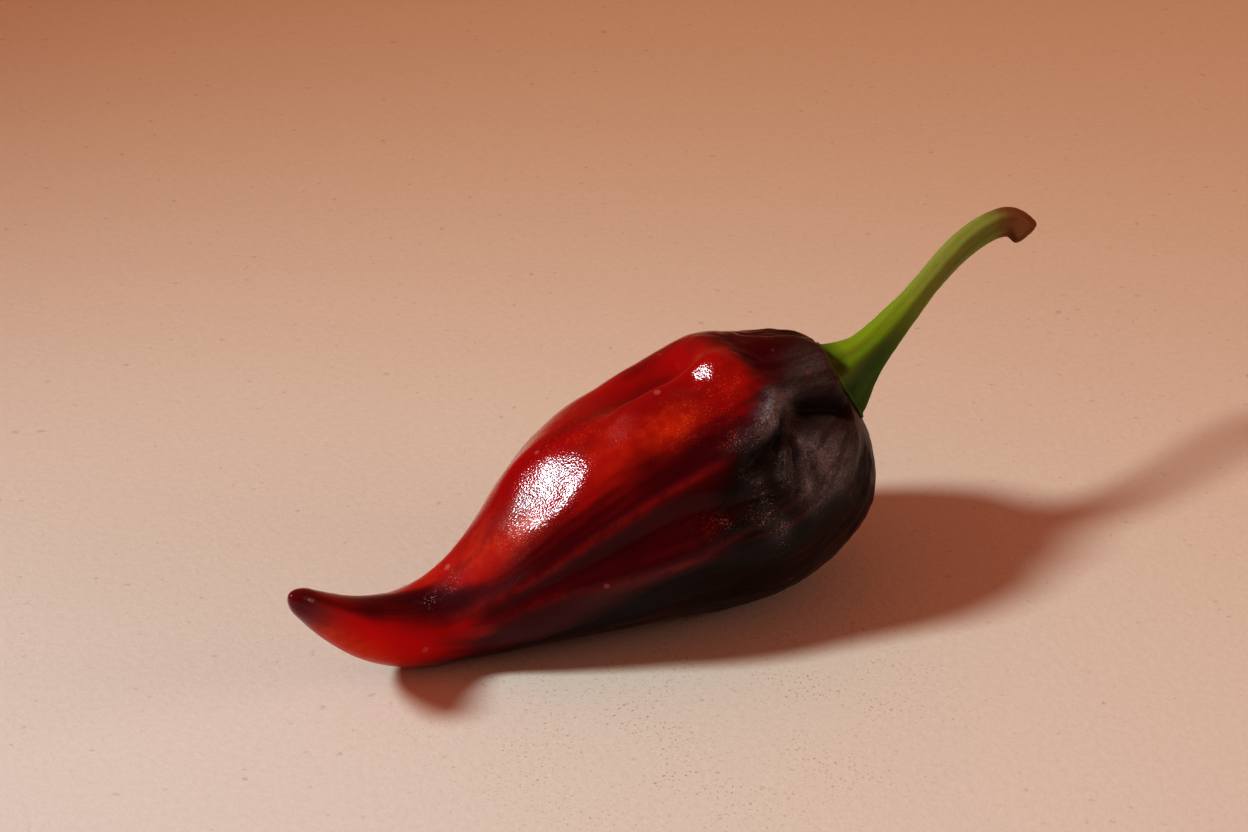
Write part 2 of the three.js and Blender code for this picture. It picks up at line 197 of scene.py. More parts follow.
def value_at(pairs, distance):
    """A smooth curve through (distance, value) pairs."""
    x, y = np.asarray(pairs, float).T
    slope = np.empty_like(y)
    slope[1:-1] = (y[2:] - y[:-2]) / (x[2:] - x[:-2])
    slope[0] = (y[1] - y[0]) / (x[1] - x[0])
    slope[-1] = (y[-1] - y[-2]) / (x[-1] - x[-2])
    d = np.clip(distance, x[0], x[-1])
    i = np.clip(np.searchsorted(x, d, side="right") - 1, 0, len(x) - 2)
    span = x[i + 1] - x[i]
    f = (d - x[i]) / span
    return (y[i] * (1 + 2 * f) * (1 - f) ** 2 + slope[i] * span * f * (1 - f) ** 2
            + y[i + 1] * f**2 * (3 - 2 * f) + slope[i + 1] * span * f**2 * (f - 1))


def end_rounding(share, squareness):
    """The radius of a rounded end, from 0 at its tip to 1."""
    share = np.clip(share, 0, 1)
    return (1 - (1 - share) ** squareness) ** (1 / squareness)


class Centreline:
    """A smooth line through handles, with frames along it that don't twist."""

    def __init__(self, handles):
        self.point = bspline(handles, np.linspace(0, 1, LINE_SAMPLES))
        ends = np.concatenate([self.point[:1], self.point, self.point[-1:]])
        self.along = ends[2:] - ends[:-2]
        self.along /= np.linalg.norm(self.along, axis=1)[:, None]
        self.up = np.zeros_like(self.point)
        up = np.array([0.0, 0.0, 1.0])
        for k, along in enumerate(self.along):
            up = up - along * (up @ along)
            up = up / np.linalg.norm(up)
            self.up[k] = up
        self.side = np.cross(self.up, self.along)
        steps = np.linalg.norm(np.diff(self.point, axis=0), axis=1)
        self.distance = np.concatenate([[0], np.cumsum(steps)])
        self.length = self.distance[-1]

    def at(self, distance):
        """Point, along, side and up at each distance."""
        return [np.stack([np.interp(distance, self.distance, of[:, k]) for k in range(3)], -1)
                for of in (self.point, self.along, self.side, self.up)]


def fold_height(fold, over, angle, radius):
    """How far one fold raises the skin: a Gaussian across the fold's path."""
    path, height, above, below, fade = fold
    nearest = np.full(over.shape, np.inf)
    side = np.ones(over.shape)
    share = np.zeros(over.shape)
    steps = len(path) - 1
    for k in range(steps):
        (from_over, from_angle), (to_over, to_angle) = path[k], path[k + 1]
        turn = (angle - math.radians(from_angle) + math.pi) % (2 * math.pi) - math.pi
        step_x = to_over - from_over
        step_y = radius * math.radians(to_angle - from_angle)
        place_x = over - from_over
        place_y = radius * turn
        # The small addition is for steps round a pole, which have no length
        squared_length = step_x**2 + step_y**2 + 1e-9
        u = np.clip((place_x * step_x + place_y * step_y) / squared_length, 0, 1)
        away = np.hypot(place_x - u * step_x, place_y - u * step_y)
        nearer = away < nearest
        nearest = np.where(nearer, away, nearest)
        side = np.where(nearer, step_x * place_y - step_y * place_x, side)
        share = np.where(nearer, (k + u) / steps, share)
    width = np.where(side > 0, above, below)
    faded = smoothstep(np.minimum(share, 1 - share) / fade) if fade else 1
    return height * faded * np.exp(-((nearest / width) ** 2))


def random_folds():
    """Folds like those of FOLDS, drawn within the ranges of RANDOM_FOLDS."""
    draw = np.random.default_rng(RANDOM_FOLDS_SEED)
    folds = []
    for count, (free_from, free_to), end_bend, fade, ranges in RANDOM_FOLDS:
        for k in range(count):
            stray, start, length, bend, height, width = (
                low + (high - low) * draw.random() for low, high in ranges)
            angle = k * 360 / count + stray
            end = start + length
            path = [(start, angle), ((start + end) / 2, angle + bend),
                    (min(end, RANDOM_FOLDS_END), angle + end_bend * bend)]
            if (angle - free_from) % 360 > free_to - free_from:
                folds.append((path, height, width, width, fade))
    return folds


def noise_field(points, size, seed):
    """Smooth noise of about -1 to 1 at each point, with features of that size in mm."""
    flat = points.reshape(-1, 3) / size + seed
    return np.array([noise.noise(p) for p in flat]).reshape(points.shape[:-1])


class PodForm:
    """The pod's main form: a round body along its centreline, with the folds and the facets."""

    def __init__(self):
        self.line = Centreline(POD_LINE)
        length = self.line.length
        self.along = length * (1 - np.cos(np.pi * np.linspace(0, 1, LINE_SAMPLES))) / 2
        self.radius = (bspline(POD_RADII, self.along / length)
                       * end_rounding(self.along / SHOULDER_LENGTH, SHOULDER_SQUARENESS)
                       * end_rounding((length - self.along) / TIP_LENGTH, TIP_SQUARENESS))
        # The distance over the skin at each distance along the line
        steps = np.hypot(np.diff(self.along), np.diff(self.radius))
        self.over = np.concatenate([[0], np.cumsum(steps)])
        self.skin_length = self.over[-1]

    def bare(self, over, angle):
        """Points of the body without folds, the skin's outward direction there, and the radius."""
        def rate(values):
            """How fast the values rise per mm over the skin."""
            step = 0.05
            ahead = np.interp(over + step, self.over, values)
            behind = np.interp(over - step, self.over, values)
            return ((ahead - behind) / (2 * step))[..., None]

        here = np.interp(over, self.over, self.along)
        radius = np.interp(over, self.over, self.radius)
        point, forward, side, up = self.line.at(here)
        radial = np.cos(angle)[..., None] * side + np.sin(angle)[..., None] * up
        outward = rate(self.along) * radial - rate(self.radius) * forward
        fade = np.clip(1 - here / LEAN_LENGTH, 0, 1) ** 2
        turned = 0.5 + 0.5 * np.cos(angle - math.radians(LEAN_ANGLE))
        lean = LEAN * fade * radius * turned**2
        return point + radius[..., None] * radial + lean[..., None] * forward, outward, radius

    def folded(self, over, angle):
        """The same, with the folds."""
        point, outward, radius = self.bare(over, angle)
        lift = sum(fold_height(fold, over, angle, radius) for fold in FOLDS)
        lift = lift * np.minimum(1, radius / FULL_RELIEF_RADIUS)
        return point + lift[..., None] * outward, outward, radius

    def at(self, over, angle):
        """The same, with the folds and the facets."""
        point, outward, radius = self.folded(over, angle)
        for at_over, degrees, half_along, half_round, height, bulge, squareness in FACETS:
            at_angle = math.radians(degrees)
            middle, out, _ = self.folded(np.array(at_over), np.array(at_angle))
            middle = middle + height * out
            turn = (angle - at_angle + math.pi) % (2 * math.pi) - math.pi
            away = np.hypot((over - at_over) / half_along, radius * turn / half_round)
            share = np.exp(-away**squareness)
            far = point - middle
            above = far @ FACET_FACING
            sideways = (far**2).sum(-1) - above**2
            facing = np.maximum(outward @ FACET_FACING, LEAST_FACING)
            drop = -(above + sideways / (2 * bulge)) / facing
            point = point + (share * drop)[..., None] * outward
        return point, outward, radius


def pod_surface():
    """Points of the skin, with over, angle and radius at each, as grids of rings by sides.

    The first and the last ring are the poles.
    """
    form = PodForm()
    over, angle = np.meshgrid(np.linspace(0, form.skin_length, POD_RINGS + 2),
                              np.linspace(0, 2 * np.pi, POD_SIDES, endpoint=False), indexing="ij")
    point, outward, radius = form.at(over, angle)
    fine = sum(fold_height(fold, over, angle, radius) for fold in FINE_FOLDS + random_folds())
    shoulder = 1 - smoothstep(over, *SHOULDER_END)
    fine += sum((height + more * shoulder) * noise_field(point, size, seed)
                for size, height, more, seed in UNEVENNESS)
    fine *= np.minimum(1, radius / FULL_RELIEF_RADIUS)
    skin = point + fine[..., None] * outward
    # Nothing sinks under the ground
    skin[..., 2] = np.maximum(skin[..., 2], 0)
    return skin, over, angle, radius


# Meshes


def make_piece(name, points, faces, attributes):
    """A smooth mesh object from points in mm, with named values for its material at each point."""
    mesh = bpy.data.meshes.new(name)
    mesh.from_pydata((points + OFFSET) * MM, [], faces)
    for key, values in attributes.items():
        kind = "FLOAT_VECTOR" if values.ndim == 2 else "FLOAT"
        made = mesh.attributes.new(key, kind, "POINT")
        made.data.foreach_set("vector" if values.ndim == 2 else "value",
                              values.astype(np.float32).ravel())
    mesh.polygons.foreach_set("use_smooth", [True] * len(mesh.polygons))
    mesh.update()
    piece = bpy.data.objects.new(name, mesh)
    bpy.context.scene.collection.objects.link(piece)
    return piece


def with_poles(grid, first, last):
    """A grid's values in a row, between those of the first and the last pole."""
    return np.concatenate([[first], grid.reshape((-1,) + grid.shape[2:]), [last]])


def closed_faces(rings, sides):
    """The faces of a pole, rings of points that run round the along direction, and a pole."""
    i, j = np.meshgrid(np.arange(rings - 1), np.arange(sides), indexing="ij")
    a = 1 + i * sides + j
    b = 1 + i * sides + (j + 1) % sides
    faces = np.stack([a, b, b + sides, a + sides], -1).reshape(-1, 4).tolist()
    last = 1 + (rings - 1) * sides
    faces += [(0, 1 + (j + 1) % sides, 1 + j) for j in range(sides)]
    faces += [(last + sides, last + j, last + (j + 1) % sides) for j in range(sides)]
    return faces


# The skin's zones and patches

# Where the brown of the shoulder and the dusk round it end: degrees round the pod, and mm over the
# skin from the stalk end. Both are partly the skin's own colour and partly painted shade: the brown
# reaches far down the lower near flank, and the dusk covers the near flank that turns away from the
# key.
BROWN_AND_SHADE_EDGE = [
    (-180, 14), (-165, 20), (-150, 15), (-125, 21), (-100, 26), (-60, 44), (-40, 46), (-25, 43),
    (-8, 31), (5, 24), (15, 26), (25, 26), (32, 24), (40, 19), (50, 14.5), (60, 10.5), (75, 7.5),
    (90, 7), (102, 9.5), (114, 7), (128, 13), (141, 9), (156, 16), (168, 12), (180, 14),
]
DUSK_AND_SHADE_EDGE = [
    (-180, 20), (-165, 29), (-150, 22), (-125, 36), (-100, 44), (-60, 49), (-25, 48), (0, 45),
    (15, 46), (25, 47), (36, 48), (44, 43), (50, 27), (57, 14), (68, 12), (80, 19), (92, 14),
    (106, 23), (121, 14), (136, 25), (150, 16), (165, 28), (180, 20),
]
# The edges are blurred this far along the pod, and over these turns round it, in degrees
EDGE_BLUR = 5
EDGE_BLUR_TURNS = (-12, -6, 0, 6, 12)
# Patches by the name that the material knows them by, as (mm over the skin, degrees, size along
# and across in mm, strength)
PATCHES = {
    # Painted glow of light in the skin, brighter and more orange: beside the hollow, on the waist,
    # and along the tail's lower rim, where light from the floor shines into it
    "painted_glow": [
        (25.8, 58, 2.4, 1.4, 0.95), (17.8, 63, 2.8, 1.6, 0.2), (39.5, 60, 2.8, 2.0, 0.35),
        (30.5, 64, 2.2, 3.0, 0.4), (43, 78, 3.0, 2.4, 0.5), (49, 108, 3.0, 2.0, 0.4),
        (62, -44, 3.0, 1.1, 1.0), (57.5, -46, 4.5, 1.2, 1.0),
    ],
    # Painted light: purer, lighter red on the side of the tail, where light shines through its thin
    # wall
    "painted_shine_through": [(58.5, -14, 5.0, 2.8, 1.0), (52, -8, 3.0, 2.0, 0.6)],
    # Darker maroon skin, partly its own colour and partly painted shade: in the hollow, round the
    # lobe, on the belly and on the tail
    "dusk_and_shade": [
        (24.5, 104, 5.0, 4.0, 0.4), (18.5, 66, 3.5, 3.0, 0.3), (20.6, 43, 3.0, 2.0, 0.4),
        (28.5, 47, 4.5, 1.9, 0.65), (41, 33, 5.0, 1.1, 0.8), (59, 76, 8.0, 2.4, 0.7),
        (51, 60, 4.0, 1.6, 0.6), (47, 46, 3.5, 1.4, 0.7), (49.5, 16, 2.5, 1.4, 0.3),
    ],
    # Grey on the brown shoulder: partly a waxy bloom of the skin, partly a painted sheen of the
    # lamps
    "bloom_and_sheen": [
        (12, 19, 1.6, 1.6, 0.7), (12.5, 8, 2.2, 2.0, 0.9), (10.5, 0, 2.2, 2.0, 0.6),
        (8.7, 10, 2.0, 2.5, 0.4), (14.6, 4, 1.6, 1.8, 0.7), (15.8, 27, 1.8, 0.7, 0.6),
        (12.7, 23, 0.8, 2.4, 0.5), (17, 19, 1.4, 1.2, 0.4), (11.8, 49, 2.4, 1.0, 1.0),
        (14.4, 43, 2.6, 1.2, 1.4), (18.5, 38.5, 3.0, 0.9, 0.45), (6, 62, 3.0, 2.0, 0.35),
        (19.7, -5, 1.4, 1.2, 0.5), (20.9, 6, 1.4, 1.0, 0.3), (21, 20, 1.4, 1.0, 0.3),
    ],
    # Painted glints: dots of pale or orange colour where single pebbles of the skin glint
    "glints": [
        (12.6, 46, 1.6, 0.8, 0.7), (14.8, 42.5, 1.6, 0.8, 1.0), (17.5, 39.5, 2.2, 0.8, 1.0),
        (20.5, 38, 1.8, 0.8, 0.8), (22.1, 40, 1.5, 0.8, 0.5), (21.1, 20, 1.6, 1.2, 0.7),
        (20.9, 6, 1.6, 1.4, 0.9), (19.7, -6, 1.4, 1.2, 1.0), (26.2, 8, 2.0, 1.2, 0.6),
        (16.6, 20, 1.4, 1.8, 0.7), (21, 62, 2.8, 2.2, 0.65), (25.4, 58, 2.4, 1.8, 0.9),
        (17.5, 66, 2.4, 1.8, 0.6), (31.5, 88, 2.8, 2.6, 0.7), (39.6, 76, 1.4, 2.6, 0.5),
        (37, 58, 2.4, 1.4, 0.5), (46.6, 71, 1.4, 0.7, 1.0), (49, 66, 1.6, 0.6, 0.9),
        (51.5, 61, 1.2, 0.5, 0.8),
    ],
    # Redder brown on top of the shoulder
    "rust": [(6, 95, 6.0, 8.0, 0.9)],
    # Less glossy skin on the knoll, the waist and the tail
    "dull": [
        (28.8, 71, 1.2, 0.9, 1.0), (42.6, 67, 3.0, 3.6, 1.5), (47, 75, 4.0, 4.5, 1.0),
        (54, 32, 6.0, 3.0, 1.0), (59, -15, 7.0, 3.0, 0.8),
    ],
    # Where matt pits break up the gloss of the highlight
    "stipple": [(40, 84, 2.4, 2.6, 1.2), (36, 98, 5.0, 2.0, 1.2), (38.5, 65, 1.6, 1.0, 0.8)],
}
# Lighter red lines along the ribs, partly the skin's own colour and partly painted light on their
# crests, and painted shade as dark lines in the creases, as (path, width, strength)
LINES = {
    "ribs": [
        ([(21, 36), (23.3, 33.5), (26, 32.5), (30, 31), (34, 29.5), (38.6, 27.5), (43.4, 28),
          (47, 28), (50.5, 33), (54, 40)], 0.45, 0.75),
        ([(23, -9), (29, -5), (32.4, -1), (36.3, 2), (39.3, 8), (42.3, 11), (50, 12)], 0.5, 0.5),
        ([(20, 2), (26, -1), (31, -7), (38, -4)], 0.35, 0.3),
        ([(22, 14), (28, 5), (34, 8)], 0.35, 0.25),
    ],
    # Painted shade in the pocket and in the crease behind the fold
    "crease_shade": [
        ([(3.6, 8), (4.4, 22), (6.2, 33), (8.4, 39.5), (10.8, 44)], 0.9, 1),
        ([(10.4, 48), (12.2, 42), (14.4, 36), (17.4, 31.5), (20.4, 29.5)], 0.5, 1),
    ],
}
# The lines fade over this share of their path at each end
LINE_FADE = 0.25
# The tail's tip darkens between these distances
TIP_DARKENING = (62, 67.5)
# The material's noise runs round a pod of this even radius
NOISE_RADIUS = 10


def around_pod(degrees, pairs):
    """A value given at angles round the pod, eased between them."""
    x, y = np.asarray(pairs, float).T
    turned = (degrees + 180) % 360 - 180
    i = np.clip(np.searchsorted(x, turned, side="right") - 1, 0, len(x) - 2)
    return y[i] + (y[i + 1] - y[i]) * smoothstep((turned - x[i]) / (x[i + 1] - x[i]))


def zone(over, degrees, edge):
    """1 on the stalk's side of an edge and 0 beyond it, blurred along and round the pod."""
    return sum(1 - smoothstep(over - around_pod(degrees + turn, edge), -EDGE_BLUR, EDGE_BLUR)
               for turn in EDGE_BLUR_TURNS) / len(EDGE_BLUR_TURNS)


def patch(over, degrees, radius, at_over, at_degrees, along, across, strength):
    """The strength of one soft patch at each point."""
    turn = (degrees - at_degrees + 180) % 360 - 180
    return strength * np.exp(-((over - at_over) / along) ** 2
                             - (radius * np.radians(turn) / across) ** 2)


def skin_values(over, angle, radius):
    """The named values that the skin's material reads at each point."""
    degrees = np.degrees(angle)
    values = {name: np.clip(sum(patch(over, degrees, radius, *p) for p in patches), 0, 1)
              for name, patches in PATCHES.items()}
    for name, lines in LINES.items():
        values[name] = np.clip(sum(
            fold_height((path, strength, width, width, LINE_FADE), over, angle, radius)
            for path, width, strength in lines), 0, 1)
    values["brown_and_shade"] = zone(over, degrees, BROWN_AND_SHADE_EDGE)
    values["dusk_and_shade"] = np.maximum(zone(over, degrees, DUSK_AND_SHADE_EDGE), values["dusk_and_shade"])
    values["tip"] = smoothstep(over, *TIP_DARKENING)
    values["around"] = np.stack(
        [over, NOISE_RADIUS * np.cos(angle), NOISE_RADIUS * np.sin(angle)], -1)
    return values


def make_pod():
    skin, over, angle, radius = (with_poles(grid[1:-1], grid[0, 0], grid[-1, 0])
                                 for grid in pod_surface())
    return make_piece("pod_skin", skin, closed_faces(POD_RINGS, POD_SIDES),
                      skin_values(over, angle, radius))


# The calyx and stalk

STALK_LINE = [
    (12.3, 3.0, 15.8),
    (15.85, 2.7, 18.1),
    (19.2, 3.35, 20.1),
    (24.05, 5.8, 22.1),
    (29.15, 8.9, 23.7),
    (34.0, 10.65, 24.55),
    (36.0, 10.35, 24.4),
    (36.8, 9.3, 23.2),
]
STALK_RADII = [
    (0, 3.4),
    (2.3, 3.45),
    (3.3, 3.05),
    (4.6, 2.4),
    (5.8, 1.95),
    (8, 1.6),
    (11, 1.3),
    (14, 1.12),
    (20, 1.15),
    (25, 1.25),
    (28.5, 1.35),
]
CALYX_TEETH = 5
CALYX_TOOTH_HEIGHT = 0.45
CALYX_RIB_HEIGHT = 0.16
CALYX_LENGTH = 9
STALK_RIDGES = 7
STALK_RIDGE_HEIGHT = 0.05
# In radians per mm along the stalk
STALK_TWIST = 0.05
# The stalk's wall draws in to this share of its radius over this length at the cut end
CUT_END_SHARE = 0.6
CUT_END_ROUNDING = 0.5
STALK_SIDES = 160
STALK_RINGS = 260
# Above 1, the rings lie closer together on the calyx
RING_CROWDING = 1.25
# The unevenness of the wall: size of its features, height, and seed
STALK_UNEVENNESS = [(2.2, 0.05, 21.0), (0.7, 0.02, 27.0)]
# The calyx stands this far off the pod
SEAT = 0.03
# Its rim spreads over the shoulder, further at the teeth
RIM_SPREAD = 0.15
RIM_TOOTH = 0.25
RIM_THICKNESS = 0.3
# Rings of the rim, from the wall outwards and down, as shares of its spread and of its thickness
RIM_RINGS = [(0.45, 0.75), (0.85, 0.7), (1.0, 0.4), (0.95, 0.1)]
UNDERSIDE_RINGS = 7
# The middle of the calyx's underside is the skin nearest to this distance along the stalk
UNDERSIDE_MIDDLE = 2.0
# Each line of the calyx comes out of the pod at one of these distances, evened out in this many
# rounds
START_TRIALS = np.linspace(0.5, 7.0, 66)
START_ROUNDS = 12
# Rings of the cut end, which is a little hollow, as (share of its radius, height)
CUT_RINGS = [(0.8, 0.02), (0.55, -0.05), (0.3, -0.12)]
CUT_MIDDLE_HEIGHT = -0.14
CUT_ROUGHNESS = 0.03
CUT_GRAIN = 0.5
CUT_SEED = 33.0
# The material's noise runs round a stalk of this even radius
STALK_NOISE_RADIUS = 2


class PodSkin:
    """The pod's skin, for the calyx to sit on."""

    def __init__(self, pod):
        self.tree = BVHTree.FromPolygons([v.co for v in pod.data.vertices],
                                         [p.vertices for p in pod.data.polygons])

    def nearest(self, point):
        """The nearest point of the skin, the outward normal there, and the height over it."""
        place = Vector((point + OFFSET) * MM)
        found, normal, _, _ = self.tree.find_nearest(place)
        height = (place - found).dot(normal) / MM
        return np.array(found) / MM - OFFSET, np.array(normal), height

    def over(self, point, height):
        """The point at that height over the skin where the skin is nearest."""
        found, normal, _ = self.nearest(point)
        return found + normal * height


def stalk_point(line, distance, angle):
    """Points of the calyx and stalk, without the unevenness of their wall."""
    point, _, side, up = line.at(distance)
    calyx = 1 - smoothstep(distance / CALYX_LENGTH)
    tooth = CALYX_TOOTH_HEIGHT * calyx**4 * np.cos(CALYX_TEETH * angle)
    rib = CALYX_RIB_HEIGHT * calyx * np.cos(2 * CALYX_TEETH * angle)
    ridge = STALK_RIDGE_HEIGHT * (1 - calyx) * np.cos(STALK_RIDGES * angle + STALK_TWIST * distance)
    rounding = end_rounding((line.length - distance) / CUT_END_ROUNDING, 2)
    radius = ((value_at(STALK_RADII, distance) + tooth + rib + ridge)
              * (CUT_END_SHARE + (1 - CUT_END_SHARE) * rounding))
    return (point + (radius * np.cos(angle))[..., None] * side
            + (radius * np.sin(angle))[..., None] * up)


def calyx_starts(line, skin, angles):
    """How far along the stalk each line of the calyx comes out of the pod."""
    starts = np.full(len(angles), START_TRIALS[-1])
    for j, angle in enumerate(angles):
        for trial in START_TRIALS:
            if skin.nearest(stalk_point(line, trial, angle))[2] > RIM_THICKNESS:
                starts[j] = trial
                break
    for _ in range(START_ROUNDS):
        starts = (np.roll(starts, 1) + 2 * starts + np.roll(starts, -1)) / 4
    return starts


def stalk_wall(line, starts, angles):
    """Rings of the wall up to the cut end, and how far along the stalk each point lies."""
    rise = np.linspace(0, 1, STALK_RINGS)[:, None] ** RING_CROWDING
    distance = starts + (line.length - starts) * rise
    wall = stalk_point(line, distance, np.broadcast_to(angles, distance.shape))
    outward = wall - line.at(distance)[0]
    outward /= np.linalg.norm(outward, axis=-1)[..., None]
    uneven = sum(height * noise_field(wall, size, seed) for size, height, seed in STALK_UNEVENNESS)
    return wall + outward * uneven[..., None], distance


def calyx_underside(skin, middle, edge, angles):
    """Rings that follow the skin from the calyx's middle to its rim, and round it to the wall."""
    spread = RIM_SPREAD + RIM_TOOTH * np.clip(np.cos(CALYX_TEETH * angles), 0, 1) ** 2
    rings = np.zeros((len(RIM_RINGS) + UNDERSIDE_RINGS, len(angles), 3))
    for j, point in enumerate(edge):
        base, normal, _ = skin.nearest(point)
        away = base - middle
        away = away - normal * (away @ normal)
        away /= np.linalg.norm(away)
        for k, (reach, lift) in enumerate(RIM_RINGS):
            rings[k, j] = skin.over(base + away * spread[j] * reach,
                                    max(RIM_THICKNESS * lift, SEAT))
        for k in range(UNDERSIDE_RINGS):
            inwards = (k + 1) / (UNDERSIDE_RINGS + 0.5)
            rings[len(RIM_RINGS) + k, j] = skin.over(base + (middle - base) * inwards, SEAT)
    return rings[::-1]


def cut_end(line, edge):
    """Rings of the cut end, and its middle."""
    end, forward, _, _ = line.at(line.length)
    rings = []
    for reach, height in CUT_RINGS:
        rough = CUT_ROUGHNESS * noise_field(edge, CUT_GRAIN, CUT_SEED + reach)
        rings.append(end + (edge - end) * reach + forward * (height + rough[:, None]))
    return np.array(rings), end + forward * CUT_MIDDLE_HEIGHT


def make_stem(pod):
    line = Centreline(STALK_LINE)
    skin = PodSkin(pod)
    angles = np.linspace(0, 2 * np.pi, STALK_SIDES, endpoint=False)
    wall, distance = stalk_wall(line, calyx_starts(line, skin, angles), angles)
    middle, normal, _ = skin.nearest(line.at(UNDERSIDE_MIDDLE)[0])
    under = calyx_underside(skin, middle, wall[0], angles)
    cut, cut_middle = cut_end(line, wall[-1])
    rings = np.concatenate([under, wall, cut])

    along = np.concatenate([np.zeros(under.shape[:2]), distance,
                            np.full(cut.shape[:2], line.length)])
    on_cut = np.zeros(along.shape)
    on_cut[-len(cut):] = 1
    turn = np.broadcast_to(angles, along.shape)
    around = np.stack(
        [along, STALK_NOISE_RADIUS * np.cos(turn), STALK_NOISE_RADIUS * np.sin(turn)], -1)
    return make_piece(
        "stem_skin", with_poles(rings, middle + normal * SEAT, cut_middle),
        closed_faces(len(rings), STALK_SIDES), {
            "along": with_poles(along, 0, line.length),
            "cut": with_poles(on_cut, 0, 1),
            "around": with_poles(around, (0, 0, 0), (line.length, 0, 0)),
        })


# Materials, with linear colours

SKIN_COLOURS = {
    "red": (0.42, 0.002, 0.004),
    "deep red": (0.27, 0.001, 0.005),
    "painted_shine_through": (0.70, 0.002, 0.003),
    "painted_glow": (0.68, 0.065, 0.007),
    "dusk_and_shade": (0.07, 0.0008, 0.005),
    "light dusk": (0.105, 0.0012, 0.007),
    "brown_and_shade": (0.008, 0.0022, 0.001),
    "light brown": (0.017, 0.0045, 0.0025),
    "rust": (0.060, 0.017, 0.008),
    "threads": (0.13, 0.005, 0.005),
    "bloom_and_sheen": (0.245, 0.235, 0.26),
    "ribs": (0.26, 0.012, 0.009),
    "crease_shade": (0.004, 0.001, 0.001),
    "tip": (0.17, 0.002, 0.014),
    "glints": (0.90, 0.13, 0.05),
    "pale glints": (0.62, 0.56, 0.58),
    "specks": (0.55, 0.20, 0.18),
}
STEM_COLOURS = {
    "green": (0.21, 0.34, 0.008),
    "light green": (0.38, 0.52, 0.03),
    "olive": (0.26, 0.33, 0.06),
    "light olive": (0.43, 0.50, 0.15),
    "bark": (0.18, 0.075, 0.028),
    "light bark": (0.30, 0.14, 0.055),
    "shade": (0.037, 0.115, 0.005),
    "cut": (0.26, 0.15, 0.07),
}
FLOOR_COLOURS = {
    "paper": (0.76, 0.69, 0.62),
    "light paper": (0.84, 0.79, 0.74),
    "specks": (0.42, 0.30, 0.22),
    "crumbs": (0.42, 0.22, 0.15),
}
# The reddish crumbs on the floor lie round this point and thin out between these distances from
# it, in metres
CRUMBS_MIDDLE = (-0.006, -0.014, 0)
CRUMBS_RADII = (0.008, 0.032)


